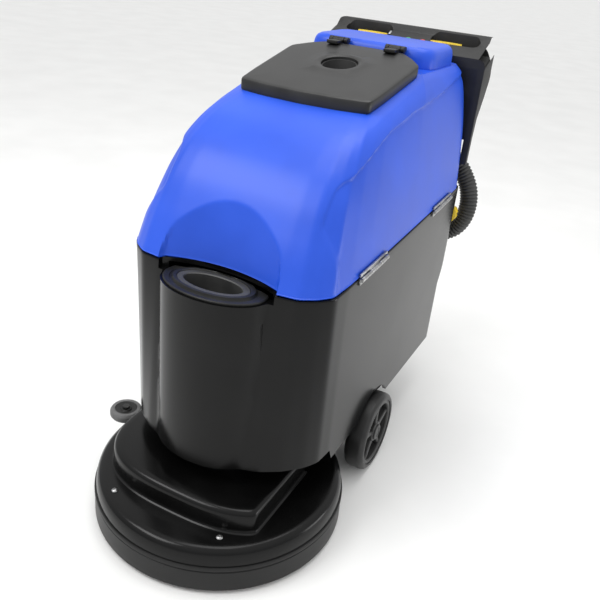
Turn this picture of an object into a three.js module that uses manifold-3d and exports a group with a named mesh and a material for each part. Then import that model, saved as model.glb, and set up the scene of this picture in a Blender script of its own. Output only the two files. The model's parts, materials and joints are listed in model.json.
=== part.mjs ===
// Walk-behind wet and dry floor scrubber, in millimetres, +Z up.
// The origin is on the floor under the brush spindle. +Y runs back to the operator's handle,
// and +X is the operator's left.
import * as THREE from "three";
import { mergeVertices } from "three/addons/utils/BufferGeometryUtils.js";
import Module from "manifold-3d";

const wasm = await Module();
wasm.setup();

// Driving dimensions
const GAP = 0.5;
const DECK_R = 280;
const SKIRT_TOP = 69;
const TIER_TOP = 108;
const CROWN_TOP = 160;
const PAD_R = 254;
const WHEEL_R = 100;
const WHEEL_Y = 313;
const WHEEL_OUT = 259;
const TYRE_W = 50;
const CASTER_R = 50;
const CASTER_X = 130;
const CASTER_Y = 620;
const BODY_HALF = 232;
const BODY_REAR = 800;
const BODY_FRONT_BOTTOM = 200;
const BODY_BOTTOM = 168;
const WALL = 8;
const SEAM_Z = 592;
const SEAM_Y = -60;
const SEAM_SLOPE = 0.037;
const TANK_REAR = 790;
const NOSE_Y = -62;
const NOSE_RX = 117;
const NOSE_RY = 76;
const NOSE_TOP = 572;
const MOUTH_Y = -70;
const MOUTH_RX = 72;
const MOUTH_RY = 38;
const ARCH_Y = -24;
const ARCH_HALF = 131;
const ARCH_RISE = 156;
const ARCH_BOW = 0.0017;
const ARCH_LEAN = 0.2;
const LID_FRONT = 230;
const LID_TOP = 904;
const LID_SLOPE = 0.208;
const LID_THICK = 24;
const HUMP_TOP = 980;
const CONSOLE_FRONT = 792;
const CONSOLE_REAR = 913;
const CONSOLE_TOP = 998;
const HOSE_R = 25;
const CUP_R = 41.5;
const CUP_Y = 404;

const COLOURS = {
  blue_plastic: [0x2b55d3, 0.35, 0],
  black_gloss: [0x0c0c0d, 0.25, 0],
  black_plastic: [0x1c1c1b, 0.5, 0],
  grey_plastic: [0x3a3a38, 0.6, 0],
  rubber: [0x161616, 0.85, 0],
  grey_rubber: [0x6c6c6c, 0.7, 0],
  yellow_plastic: [0xf0dc50, 0.4, 0],
  green_plastic: [0x2f9a4a, 0.4, 0],
  red_plastic: [0xb02a22, 0.4, 0],
  steel: [0x9a9c9e, 0.35, 1],
  zinc: [0xc4c6c8, 0.3, 1],
  motor_grey: [0x70757a, 0.5, 0.2],
  pad_red: [0x8c2a20, 0.95, 0],
};

const machine = new THREE.Group();

// ---- helpers -------------------------------------------------------------------------------

function seamZ(y) {
  return SEAM_Z + SEAM_SLOPE * (y - SEAM_Y);
}

function material(name) {
  const [color, roughness, metalness] = COLOURS[name];
  return new THREE.MeshStandardMaterial({ color, roughness, metalness });
}

function bare(geometry) {
  const copy = geometry.clone();
  copy.deleteAttribute("normal");
  copy.deleteAttribute("uv");
  return mergeVertices(copy, 1e-3);
}

function solid(geometry) {
  const merged = bare(geometry);
  const vertProperties = new Float32Array(merged.attributes.position.array);
  const triVerts = new Uint32Array(merged.index.array);
  return new wasm.Manifold(new wasm.Mesh({ numProp: 3, vertProperties, triVerts }));
}

function geometryOf(shape) {
  const { vertProperties, triVerts } = shape.getMesh();
  const geometry = new THREE.BufferGeometry();
  geometry.setAttribute("position", new THREE.BufferAttribute(new Float32Array(vertProperties), 3));
  geometry.setIndex(new THREE.BufferAttribute(new Uint32Array(triVerts), 1));
  geometry.computeVertexNormals();
  return geometry;
}

// Adds a named piece. Its shape is a geometry or a solid.
function piece(name, colour, shape) {
  const geometry = shape instanceof wasm.Manifold ? geometryOf(shape) : shape;
  const mesh = new THREE.Mesh(geometry, material(colour));
  mesh.name = name;
  machine.add(mesh);
  return mesh;
}

function join(...shapes) {
  return shapes.reduce((whole, next) => whole.add(next));
}

function cut(shape, ...tools) {
  return tools.reduce((rest, tool) => rest.subtract(tool), shape);
}

// A box from its two corners.
function block(x0, x1, y0, y1, z0, z1) {
  const geometry = new THREE.BoxGeometry(x1 - x0, y1 - y0, z1 - z0);
  return geometry.translate((x0 + x1) / 2, (y0 + y1) / 2, (z0 + z1) / 2);
}

// A round bar along an axis, from its lower end to its upper end.
function bar(axis, radius, from, to, across, sides = 24) {
  const geometry = new THREE.CylinderGeometry(radius, radius, to - from, sides);
  const middle = (from + to) / 2;
  if (axis === "x") {
    geometry.rotateZ(Math.PI / 2).translate(middle, across[0], across[1]);
  } else if (axis === "y") {
    geometry.translate(across[0], middle, across[1]);
  } else {
    geometry.rotateX(Math.PI / 2).translate(across[0], across[1], middle);
  }
  return geometry;
}

// A turned piece: its profile is [radius, height] points, its axis is Z or, when laid over, X.
function turned(profile, sides = 40, axis = "z") {
  const points = profile.map(([r, h]) => new THREE.Vector2(r, h));
  if (profile[0][0] !== 0 || profile.at(-1)[0] !== 0) {
    points.push(points[0].clone());
  }
  const geometry = new THREE.LatheGeometry(points, sides);
  geometry.rotateX(Math.PI / 2);
  if (axis === "x") {
    geometry.rotateY(Math.PI / 2);
  }
  return geometry;
}

function outlineShape(points) {
  return new THREE.Shape(points.map(([x, y]) => new THREE.Vector2(x, y)));
}

// An outline in X and Y, raised from z0 to z1.
function slab(points, z0, z1, holes = []) {
  const shape = outlineShape(points);
  shape.holes = holes.map((hole) => new THREE.Path(hole.map(([x, y]) => new THREE.Vector2(x, y))));
  const geometry = new THREE.ExtrudeGeometry(shape, { depth: z1 - z0, bevelEnabled: false });
  return geometry.translate(0, 0, z0);
}

// An outline in Y and Z, run from x0 to x1.
function side(points, x0, x1) {
  const geometry = new THREE.ExtrudeGeometry(outlineShape(points), { depth: x1 - x0, bevelEnabled: false });
  geometry.applyMatrix4(new THREE.Matrix4().makeBasis(
    new THREE.Vector3(0, 1, 0), new THREE.Vector3(0, 0, 1), new THREE.Vector3(1, 0, 0)));
  return geometry.translate(x0, 0, 0);
}

function ellipse(rx, ry, cx = 0, cy = 0, count = 32, power = 2) {
  return Array.from({ length: count }, (_, i) => {
    const a = (2 * Math.PI * i) / count;
    const c = Math.cos(a);
    const s = Math.sin(a);
    return [
      cx + rx * Math.sign(c) * Math.abs(c) ** (2 / power),
      cy + ry * Math.sign(s) * Math.abs(s) ** (2 / power),
    ];
  });
}

// Both halves of an outline whose points run along +X from the front centre to the rear centre.
function mirrored(half) {
  const other = half.filter(([x]) => x > 0).map(([x, ...rest]) => [-x, ...rest]);
  return [...half, ...other.reverse()];
}

// A closed skin over rings of equal length, each ring counter-clockwise seen from above.
function loft(rings) {
  const count = rings[0].length;
  const points = rings.flat();
  const middle = (ring) => [0, 1, 2].map((k) => ring.reduce((sum, p) => sum + p[k], 0) / count);
  const low = points.push(middle(rings[0])) - 1;
  const high = points.push(middle(rings.at(-1))) - 1;
  const index = [];
  const last = (rings.length - 1) * count;
  for (let i = 0; i < count; i += 1) {
    const n = (i + 1) % count;
    for (let k = 0; k < rings.length - 1; k += 1) {
      const a = k * count;
      index.push(a + i, a + n, a + count + n, a + i, a + count + n, a + count + i);
    }
    index.push(low, n, i, high, last + i, last + n);
  }
  const geometry = new THREE.BufferGeometry();
  geometry.setAttribute("position", new THREE.Float32BufferAttribute(points.flat(), 3));
  geometry.setIndex(index);
  return geometry;
}

function mix(a, b, t) {
  return a + (b - a) * t;
}

function tube(points, radius, steps, sides = 10) {
  const path = new THREE.CatmullRomCurve3(points.map((p) => new THREE.Vector3(...p)), false, "centripetal");
  const section = outlineShape(ellipse(radius, radius, 0, 0, sides));
  return new THREE.ExtrudeGeometry(section, { steps, bevelEnabled: false, extrudePath: path });
}

// ---- solution tank: the black lower body ----------------------------------------------------

// Half outlines [x, y] at the seam and at the bottom edge, point for point.
const BODY_SEAM = [[0, -66], [70, -66], [130, -66], [176, -60], [207, -38], [230, -12], [232, 40],
  [232, 300], [232, 765], [226, 788], [208, 800], [100, 800], [0, 800]];
const BODY_BASE = [[0, -126], [70, -113], [138, -88], [178, -60], [211, -24], [228, 8], [232, 52],
  [232, 300], [232, 765], [226, 788], [208, 800], [100, 800], [0, 800]];

function bodyRing(height, inset) {
  return mirrored(BODY_SEAM.map(([sx, sy], i) => {
    const [bx, by] = BODY_BASE[i];
    const x = mix(bx, sx, height) * (1 - inset / BODY_HALF);
    const y = mix(by, sy, height) + (by < 0 ? inset : -inset * (by > 500));
    const low = by < 60 ? BODY_FRONT_BOTTOM : BODY_BOTTOM;
    return [x, y, mix(low, seamZ(y), height)];
  }));
}

// The body's shape up to the sloping seam, with the flank behind the wheels drawn in below.
function bodyShape() {
  const rings = [0, 0.25, 0.5, 0.75, 1].map((height) => bodyRing(height, 0));
  const rear = side([[BODY_REAR + 60, 470], [BODY_REAR, 470], [742, 345], [742, 100], [BODY_REAR + 60, 100]],
    -300, 300);
  return cut(solid(loft(rings)), solid(rear));
}

function noseShape(inset, bottom, top) {
  const outline = ellipse(NOSE_RX - inset, NOSE_RY - inset, 0, NOSE_Y, 28);
  return solid(slab(outline, bottom, top));
}

function solutionTank() {
  const seamCover = solid(loft([0, 1].map((level) => [
    [-300, -300], [300, -300], [300, 1000], [-300, 1000],
  ].map(([x, y]) => [x, y, level ? 1200 : seamZ(y) - WALL]))));
  const batteryBay = solid(block(-222, 222, 300, 790, 345, 800));
  const hull = solid(loft([-0.3, 1.1].map((height) => bodyRing(height, WALL))));
  const frontRoom = cut(solid(block(-230, 230, -48, 290, 395, 800)), seamCover).intersect(hull);
  const motorWall = solid(block(-250, 250, -60 - WALL, 300, 100, 383 + WALL));
  const noseWell = cut(noseShape(WALL, 215, NOSE_TOP - 4), motorWall);
  const mouth = solid(slab(ellipse(MOUTH_RX + 6, MOUTH_RY + 5, 0, MOUTH_Y, 28), NOSE_TOP - 10, NOSE_TOP + 10));
  const headroom = archRoom(0, NOSE_TOP, 700, 1);
  const underFront = solid(block(-180, 180, -60, 292, 100, 383)).intersect(hull);
  const underSide = solid(block(-230, 230, 0, 292, 100, 383)).intersect(hull);
  const underRear = solid(block(-224, 224, 300, 734, 100, 337));
  const arches = [-1, 1].map((s) => solid(bar("x", WHEEL_R + 16, Math.min(s * 196, s * 300),
    Math.max(s * 196, s * 300), [WHEEL_Y, WHEEL_R], 32)));
  const hoseHole = solid(bar("y", 9, 735, 830, [205, 531], 16));
  const shape = cut(join(bodyShape(), noseShape(0, 202, NOSE_TOP)), headroom, batteryBay, frontRoom,
    noseWell, mouth, underFront, underSide, underRear, ...arches, hoseHole);
  piece("solution_tank", "black_gloss", shape);
}

// The space in front of the arch's face between two heights, as wide as the arch at the seam.
function archRoom(inset, bottom, top, reach) {
  const columns = Array.from({ length: 13 }, (_, i) => (ARCH_HALF + reach) * (i / 6 - 1));
  const face = columns.map((x) => [x, ARCH_Y - ARCH_BOW * x * x + inset]);
  return solid(slab([[-ARCH_HALF - reach, -300], [ARCH_HALF + reach, -300], ...face.reverse()], bottom, top));
}

function mouthOval(grow) {
  return ellipse(MOUTH_RX + grow, MOUTH_RY + grow, 0, MOUTH_Y, 28);
}

function filler() {
  const room = archRoom(-1.5, 400, 700, -6);
  const ring = slab(ellipse(NOSE_RX - 6, NOSE_RY - 6, 0, NOSE_Y, 28), NOSE_TOP + GAP, NOSE_TOP + 5,
    [mouthOval(0)]);
  const collar = slab(mouthOval(16), NOSE_TOP + 4, NOSE_TOP + 9, [mouthOval(9)]);
  piece("filler_ring", "black_plastic", join(solid(ring), solid(collar)).intersect(room));
  const cup = solid(slab(mouthOval(-4), 470, NOSE_TOP + 8));
  const lip = solid(slab(mouthOval(6), NOSE_TOP + 5.5, NOSE_TOP + 8)).intersect(archRoom(-3, 400, 700, -6));
  const inside = solid(slab(mouthOval(-8), 474, 700));
  const cross = solid(block(-2, 2, MOUTH_Y - 32, MOUTH_Y + 32, 472, 545));
  const slots = [-1, 1].flatMap((s) => [0, 1, 2].map((i) =>
    solid(block(s * 34 - 24, s * 34 + 24, MOUTH_Y - 20 + i * 15, MOUTH_Y - 13 + i * 15, 460, 480))));
  piece("strainer_basket", "grey_plastic", cut(join(cut(join(cup, lip), inside), cross), ...slots));
}

// ---- recovery tank: the blue upper body -----------------------------------------------------

// Stations round the tank: [seam x, seam y, shoulder x, shoulder y, share of the front's curve].
const TANK_STATIONS = [
  [0, -66, 0, 224, 1], [45, -66, 40, 224, 1], [90, -66, 80, 224, 1], [130, -66, 112, 225, 1],
  [176, -60, 132, 228, 1], [205, -40, 142, 236, 1], [226, -14, 148, 252, 0.9],
  [231, 50, 154, 300, 0.6], [232, 140, 158, 360, 0.3], [232, 260, 161, 420, 0.1],
  [232, 400, 164, 500, 0], [232, 560, 166, 610, 0], [232, 740, 168, 734, 0],
  [225, 776, 164, 768, 0], [206, TANK_REAR, 150, 782, 0], [110, TANK_REAR, 100, 784, 0],
  [0, TANK_REAR, 0, 784, 0],
];
// Profiles from the seam to the shoulder, as [share of the way in, share of the way up].
const FRONT_CURVE = [[0, 0], [0.09, 0.2], [0.18, 0.36], [0.3, 0.55], [0.46, 0.73], [0.68, 0.885], [1, 1]];
const SIDE_CURVE = [[0, 0], [0.05, 0.2], [0.13, 0.42], [0.27, 0.64], [0.48, 0.85], [0.75, 0.95], [1, 1]];

function shoulderZ(y) {
  return LID_TOP - LID_THICK - 1 + LID_SLOPE * Math.min(y - LID_FRONT, 265);
}

function tankRing(level, inset) {
  return mirrored(TANK_STATIONS.map(([sx, sy, tx, ty, front]) => {
    const inward = mix(SIDE_CURVE[level][0], FRONT_CURVE[level][0], front);
    const upward = mix(SIDE_CURVE[level][1], FRONT_CURVE[level][1], front);
    const x = mix(sx, tx, inward) * (1 - inset / BODY_HALF);
    const y = mix(sy, ty, inward) + (sy < 0 ? inset : -inset * (sy > 700));
    const z = mix(seamZ(sy) + 1 + inset, shoulderZ(ty) - inset, upward);
    return [x, y, z];
  }));
}

function tankShape(inset) {
  return solid(loft(FRONT_CURVE.map((_, level) => tankRing(level, inset))));
}

// The arched recess over the filler: an elliptic arch run in to a face that leans back.
function archCutter(inset) {
  const half = ARCH_HALF + inset;
  const rise = ARCH_RISE + inset;
  const face = (x, z) => ARCH_Y - ARCH_BOW * x * x + ARCH_LEAN * (z - SEAM_Z) + inset;
  const outline = (t) => {
    const a = Math.PI * t;
    return [half * Math.cos(a), SEAM_Z + rise * Math.sin(a)];
  };
  const arc = Array.from({ length: 15 }, (_, i) => outline(i / 14));
  const columns = arc.map(([x, z]) => [
    [x, face(x, SEAM_Z - 12), SEAM_Z - 12],
    [x, -260, SEAM_Z - 12],
    [x, -260, z],
    [x, face(x, z), z],
  ]);
  return solid(loft(columns));
}

function recoveryTank() {
  const humpRing = (x, y0, y1, z) => ellipse(x, (y1 - y0) / 2, 0, (y0 + y1) / 2, 20, 7).map((p) => [...p, z]);
  const hump = solid(loft([humpRing(160, 563, 766, 915), humpRing(156, 566, 764, HUMP_TOP - 12),
    humpRing(146, 574, 758, HUMP_TOP)]));
  const humpRoom = solid(loft([humpRing(146, 581, 752, 900), humpRing(142, 583, 750, HUMP_TOP - 10)]));
  const outer = cut(join(tankShape(0), hump), archCutter(0));
  const room = cut(tankShape(WALL), archCutter(WALL));
  const mouth = solid(block(-112, 112, 268, 484, 860, 1000));
  const outlet = solid(bar("y", 21, 740, 830, [150, 700], 20));
  piece("recovery_tank", "blue_plastic", cut(outer, room, humpRoom, mouth, outlet));
}

// ---- lid ------------------------------------------------------------------------------------

// Lays a piece drawn flat, with its top at z = 0, onto the sloping top at a height over it.
function onSlope(geometry, lift) {
  const matrix = new THREE.Matrix4().makeShear(0, 0, 0, 0, 0, 0);
  matrix.set(1, 0, 0, 0, 0, 1, 0, 0, 0, LID_SLOPE, 1, LID_TOP + lift - LID_SLOPE * LID_FRONT, 0, 0, 0, 1);
  return geometry.applyMatrix4(matrix);
}

const LID_OUTLINE = mirrored([[0, 222], [80, 225], [150, 233], [155, 300], [161, 475], [130, 512],
  [98, 538], [0, 540]]);

function lid() {
  const hole = ellipse(CUP_R, CUP_R, 0, CUP_Y, 24);
  const plate = onSlope(slab(LID_OUTLINE, -LID_THICK, 0, [hole]), 0);
  const under = onSlope(slab(LID_OUTLINE.map(([x, y]) => [x * 0.955, 381 + (y - 381) * 0.95]), -40, -6), 0);
  const ring = onSlope(slab(ellipse(50, 50, 0, CUP_Y, 24), -6.5, -4, [hole]), 0);
  piece("lid", "black_plastic", join(cut(solid(plate), solid(under)), solid(ring),
    ...Object.values(LID_HINGES).map(lidKnuckle)));
  const cup = solid(onSlope(slab(ellipse(CUP_R - 1, CUP_R - 1, 0, CUP_Y, 24), -70, -3), 0));
  const hollow = solid(onSlope(slab(ellipse(CUP_R - 4, CUP_R - 4, 0, CUP_Y, 24), -67, 5), 0));
  piece("lid_cup", "rubber", cut(cup, hollow));
  const sealOuter = [[-122, 258], [122, 258], [122, 494], [-122, 494]];
  const sealInner = [[-115, 265], [115, 265], [115, 487], [-115, 487]];
  piece("lid_seal", "rubber", onSlope(slab(sealOuter, -LID_THICK, -6.6, [sealInner]), 0));
}

// A lid hinge: two ears and their pin on the tank's hump, round a knuckle that is moulded on the lid.
const HINGE_Y = 550;
const HINGE_Z = LID_TOP + LID_SLOPE * (HINGE_Y - LID_FRONT) + 2;
const LID_HINGES = { left: 72, right: -72 };

function lidKnuckle(x) {
  const barrel = solid(bar("x", 8, x - 14, x + 14, [HINGE_Y, HINGE_Z]));
  const leaf = solid(block(x - 14, x + 14, 505, HINGE_Y, HINGE_Z - 7, HINGE_Z + 2));
  return cut(join(barrel, leaf), solid(bar("x", 3.4, x - 15, x + 15, [HINGE_Y, HINGE_Z])));
}

function lidHinges() {
  for (const [sideName, x] of Object.entries(LID_HINGES)) {
    const ears = [[x - 24, x - 14.6], [x + 14.6, x + 24]].map(([x0, x1]) => join(
      solid(bar("x", 8, x0, x1, [HINGE_Y, HINGE_Z])),
      solid(block(x0, x1, HINGE_Y, HINGE_Y + 13, HINGE_Z - 4, HINGE_Z + 6))));
    const pin = solid(bar("x", 3, x - 23, x + 23, [HINGE_Y, HINGE_Z], 12));
    piece(`lid_hinge_${sideName}`, "black_plastic", join(...ears, pin));
  }
}

// ---- what works inside the recovery tank ----------------------------------------------------

const MOTOR_Y = 662;

function vacuum() {
  const profile = [[0, 0], [66, 0], [66, 36], [50, 38], [50, 105], [0, 105]];
  piece("vacuum_motor", "motor_grey", turned(profile, 20).translate(0, MOTOR_Y, 850));
  const cage = [[0, 0], [24, 0], [24, 66], [34, 68], [34, 72], [20, 72], [20, 4], [0, 4]];
  piece("float_cage", "grey_plastic", turned(cage, 16).translate(0, MOTOR_Y, 775));
}

// ---- seam hinges and catch between the two tanks --------------------------------------------

const SEAM_HINGE_X = BODY_HALF + 6;
const SEAM_TILT = Math.atan(SEAM_SLOPE);

// Moves a piece drawn round the hinge line onto the seam at a distance back.
function onSeam(geometry, y) {
  return geometry.rotateX(SEAM_TILT).translate(SEAM_HINGE_X, y, seamZ(y));
}

function seamHinge(name, y) {
  const lower = join(
    solid(onSeam(block(-5.6, -2, -70, 70, -12, -5.6), y)),
    solid(onSeam(block(-5.6, -1.5, -70, -24, -7, 1.2), y)),
    solid(onSeam(block(-5.6, -1.5, 24, 70, -7, 1.2), y)),
    solid(onSeam(bar("y", 4.6, -69, -24.2, [0, 0], 16), y)),
    solid(onSeam(bar("y", 4.6, 24.2, 69, [0, 0], 16), y)),
    solid(onSeam(bar("y", 2.4, -60, 60, [0, 0], 12), y)));
  piece(`seam_hinge_${name}`, "zinc", lower);
  const leaf = join(
    solid(onSeam(block(-5.6, -2, -70, 70, 5.8, 12), y)),
    solid(onSeam(block(-5.6, -1.5, -23.4, 23.4, -1.2, 7), y)),
    solid(onSeam(bar("y", 4.6, -23.6, 23.6, [0, 0], 16), y)));
  const bore = solid(onSeam(bar("y", 2.8, -30, 30, [0, 0], 12), y));
  piece(`tank_leaf_${name}`, "zinc", cut(leaf, bore));
}

function tankCatch() {
  const y = 380;
  const x = -BODY_HALF;
  const z = seamZ(y) - 16;
  piece("catch_keeper", "zinc", block(x - 7, x - 0.6, y - 15, y + 15, z + 26, z + 34));
  piece("catch_lever", "zinc", join(
    solid(bar("y", 3.5, y - 18, y + 18, [x - 6, z], 16)),
    solid(block(x - 11, x - 8, y - 18, y + 18, z - 2, z + 38)),
    solid(block(x - 18, x - 8, y - 12, y + 12, z + 35, z + 38))));
}

// ---- batteries and controls in the body -----------------------------------------------------

function battery(name, y0) {
  const shell = solid(block(-165, 165, y0, y0 + 170, 346, 560));
  const top = solid(block(-158, 158, y0 + 6, y0 + 164, 555, 570));
  const posts = [-130, 130].map((x) => solid(bar("z", 9, 565, 582, [x, y0 + 40], 12)));
  piece(name, "grey_plastic", join(shell, top, ...posts));
}

function electrics() {
  battery("battery_front", 306);
  battery("battery_rear", 486);
  const box = solid(block(-110, 110, 668, 736, 346, 520));
  const fins = [-80, -40, 0, 40, 80].map((x) => solid(block(x - 3, x + 3, 660, 670, 356, 510)));
  piece("control_box", "black_plastic", join(box, ...fins));
}

// ---- chassis, wheels and casters -------------------------------------------------------------

const CHASSIS_TOP = BODY_BOTTOM - GAP;
const CHASSIS_BOTTOM = 158;
const BRACKET_X = 180;

function chassis() {
  piece("chassis_plate", "steel", block(-186, 186, 196, 738, CHASSIS_BOTTOM, CHASSIS_TOP));
  for (const [name, s] of [["left", 1], ["right", -1]]) {
    const plate = side([[WHEEL_Y - 40, CHASSIS_BOTTOM - GAP], [WHEEL_Y - 16, WHEEL_R - 18],
      [WHEEL_Y + 16, WHEEL_R - 18], [WHEEL_Y + 40, CHASSIS_BOTTOM - GAP]], s * BRACKET_X - 4, s * BRACKET_X + 4);
    const hole = bar("x", 10.3, s * BRACKET_X - 6, s * BRACKET_X + 6, [WHEEL_Y, WHEEL_R], 24);
    piece(`axle_bracket_${name}`, "steel", cut(solid(plate), solid(hole)));
  }
  piece("axle", "steel", bar("x", 10, -WHEEL_OUT + 8, WHEEL_OUT - 8, [WHEEL_Y, WHEEL_R], 20));
}

// A wheel's tyre and spoked hub, turned about X, with its outer side towards s.
function wheel(name, s) {
  const half = TYRE_W / 2;
  const centre = s * (WHEEL_OUT - half);
  const place = (geometry) => geometry.translate(centre, WHEEL_Y, WHEEL_R);
  const tread = [[84, -half], [92, -half], [WHEEL_R, -half + 10], [WHEEL_R, half - 10], [92, half],
    [84, half]];
  piece(`tyre_${name}`, "rubber", place(turned(tread, 32, "x")));
  const rim = turned([[74, -half + 5], [83.6, -half + 3], [83.6, half - 3], [74, half - 5]], 32, "x");
  const disc = turned([[24, -5], [76, -5], [76, 5], [24, 5]], 32, "x");
  const boss = turned([[10.4, -half + 2], [26, -half + 2], [26, half - 4], [10.4, half - 4]], 20, "x");
  const outer = [s * (half - 5), s * (half - 1)].sort((a, b) => a - b);
  const cap = solid(bar("x", 20, ...outer, [0, 0], 20));
  const spokes = Array.from({ length: 5 }, (_, i) =>
    solid(block(-half + 8, half - 8, -5, 5, 20, 76).rotateX((2 * Math.PI * i) / 5)));
  const hub = join(solid(rim), solid(disc), solid(boss), ...spokes);
  piece(`wheel_hub_${name}`, "grey_plastic", place(geometryOf(join(hub, cap))));
}

function caster(name, x) {
  const trail = 30;
  const top = CHASSIS_BOTTOM - GAP;
  const crown = solid(bar("z", 30, 112, 122, [x, CASTER_Y], 24));
  const stem = solid(bar("z", 24, 120, top, [x, CASTER_Y], 24));
  const arm = (x0, x1) => solid(side([[CASTER_Y - 24, 120], [CASTER_Y + 8, 120], [CASTER_Y + trail + 14, 58],
    [CASTER_Y + trail + 14, 38], [CASTER_Y + trail - 14, 38], [CASTER_Y - 24, 100]].reverse(), x0, x1));
  const pin = solid(bar("x", 6, x - 24, x + 24, [CASTER_Y + trail, CASTER_R], 16));
  piece(`caster_fork_${name}`, "zinc", join(crown, stem, arm(x - 26, x - 21), arm(x + 21, x + 26), pin));
  const tread = [[6.3, -17], [18, -15], [45, -15], [CASTER_R, -10], [CASTER_R, 10], [45, 15], [18, 15],
    [6.3, 17]];
  piece(`caster_wheel_${name}`, "rubber", turned(tread, 24, "x").translate(x, CASTER_Y + trail, CASTER_R));
}

// ---- brush deck ------------------------------------------------------------------------------

const CROWN_RIGHT_CUT = 178;
const CROWN_HALF = 232;
const CROWN_FRONT = 193;
const CROWN_REAR = 75;

function crownOutline(inset) {
  const front = ellipse(CROWN_HALF - inset, CROWN_FRONT - inset, 0, 0, 32, 2.8);
  const rear = ellipse(CROWN_HALF - inset, CROWN_REAR - inset, 0, 0, 32, 4);
  return front.map((p, i) => (i < 16 ? rear[i] : p)).map(([x, y]) => [Math.min(x, CROWN_RIGHT_CUT - inset), y]);
}

function deckCover() {
  const outer = turned([[0, 69.5], [276, 69.5], [273, 96], [262, TIER_TOP], [0, TIER_TOP]], 48);
  const inner = turned([[0, 60], [270, 60], [267, 94], [258, 103], [0, 103]], 48);
  const crown = loft([[0, 100], [0, 148], [5, 156], [14, CROWN_TOP]].map(([inset, z]) =>
    crownOutline(inset).map((p) => [...p, z])));
  const crownRoom = loft([[6, 90], [6, 145], [14, CROWN_TOP - 6]].map(([inset, z]) =>
    crownOutline(inset).map((p) => [...p, z])));
  const hole = bar("z", 64, 140, 170, [0, 0], 24);
  piece("deck_cover", "black_gloss", cut(join(solid(outer), solid(crown)), solid(inner), solid(crownRoom),
    solid(hole)));
  piece("splash_skirt", "rubber", turned([[272, 8], [DECK_R, 8], [DECK_R, SKIRT_TOP], [272, SKIRT_TOP]], 48));
  for (const [name, x, y] of [["right", -131, -209], ["left", 125, -200]]) {
    piece(`deck_screw_${name}`, "zinc", bar("z", 6, TIER_TOP + 0.4, TIER_TOP + 3.5, [x, y], 12));
  }
}

function brushDrive() {
  piece("gearbox", "motor_grey", turned([[0, 100], [40, 100], [58, 108], [58, 159.8], [0, 159.8]], 24));
  piece("brush_motor", "motor_grey", turned([[0, 160.4], [80, 160.4], [80, 167], [60, 170], [60, 322],
    [46, 338], [0, 340]], 24));
  const driver = turned([[0, 26], [16, 26], [16, 30], [246, 25.6], [246, 34], [60, 42], [40, 56], [12, 60],
    [12, 99.4], [0, 99.4]], 36);
  piece("pad_driver", "grey_plastic", driver);
  piece("floor_pad", "pad_red", turned([[42, 0], [PAD_R, 0], [PAD_R, 25], [42, 25]], 40));
  piece("pad_lock", "grey_plastic", turned([[0, 5], [38, 5], [40, 9], [40, 24.8], [12, 25], [0, 25.4]], 20));
}

const ROLLER = { x: -278, y: 4, r: 38, z0: 113.5, z1: 135.5 };

function bumper() {
  const { x, y, r, z0, z1 } = ROLLER;
  piece("bumper_bracket", "steel", join(
    solid(block(x - 12, -236, y - 14, y + 14, TIER_TOP + GAP, TIER_TOP + 4)),
    solid(bar("z", 14, TIER_TOP + GAP, TIER_TOP + 4, [x, y], 20)),
    solid(bar("z", 5, TIER_TOP + 1, z1 + 1, [x, y], 16)),
    solid(bar("z", 9, z1 + 0.5, z1 + 5, [x, y], 6))));
  piece("bumper_tyre", "grey_rubber", turned([[26, z0], [r - 4, z0], [r, z0 + 6], [r, z1 - 6], [r - 4, z1],
    [26, z1]], 28).translate(x, y, 0));
  piece("bumper_hub", "black_plastic", turned([[5.4, z0 + 1], [25.6, z0 + 1], [25.6, z1 - 1], [14, z1 - 4],
    [12, z1 - 1], [5.4, z1 - 1]], 20).translate(x, y, 0));
}

// ---- deck lift and squeegee carrier -----------------------------------------------------------

function lift() {
  const arm = (x0, x1) => solid(side([[192, 132], [208, 132], [208, 148], [192, 148], [104, 131], [104, 122]],
    x0, x1));
  piece("lift_frame", "steel", join(arm(-116, -108), arm(108, 116), solid(bar("x", 7, -130, 130, [200, 141], 16))));
  const pedalArm = side([[742, 143], [760, 143], [860, 150], [885, 150], [885, 156], [860, 157], [760, 157],
    [742, 157]], -148, -138);
  const foot = block(-178, -108, 846, 892, 157, 163);
  piece("lift_pedal", "steel", join(solid(pedalArm), solid(foot), solid(bar("x", 7, -170, -110, [750, 150], 16))));
  const rail = (x0, x1) => solid(side([[742, 132], [758, 132], [872, 74], [872, 60], [820, 60], [820, 82],
    [742, 120]].reverse(), x0, x1));
  const carrier = solid(block(-86, 86, 820, 872, 60, 66));
  piece("squeegee_hanger", "steel", join(rail(-86, -78), rail(78, 86), carrier,
    solid(bar("x", 7, -92, 92, [750, 128], 16))));
}

// ---- console, handle and controls --------------------------------------------------------------

const PANEL_Y = CONSOLE_FRONT + 2;

// The rear edge of the console's side outline, [y, z] from the rim's underside to the panel.
const CONSOLE_RIM = [[CONSOLE_REAR - 8, 948], [CONSOLE_REAR, 970], [CONSOLE_REAR, CONSOLE_TOP - 8],
  [CONSOLE_REAR - 8, CONSOLE_TOP], [CONSOLE_REAR - 24, CONSOLE_TOP], [CONSOLE_REAR - 35, CONSOLE_TOP - 14],
  [838, CONSOLE_TOP - 29], [CONSOLE_FRONT, 950]];
const CONSOLE_CORNER = 46;
const CONSOLE_EDGE = 20;
const CHEEK_INSIDE = 214;
const BACK_WALL_FOOT = 745;
const BACK_WALL_THICK = 5;

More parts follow.
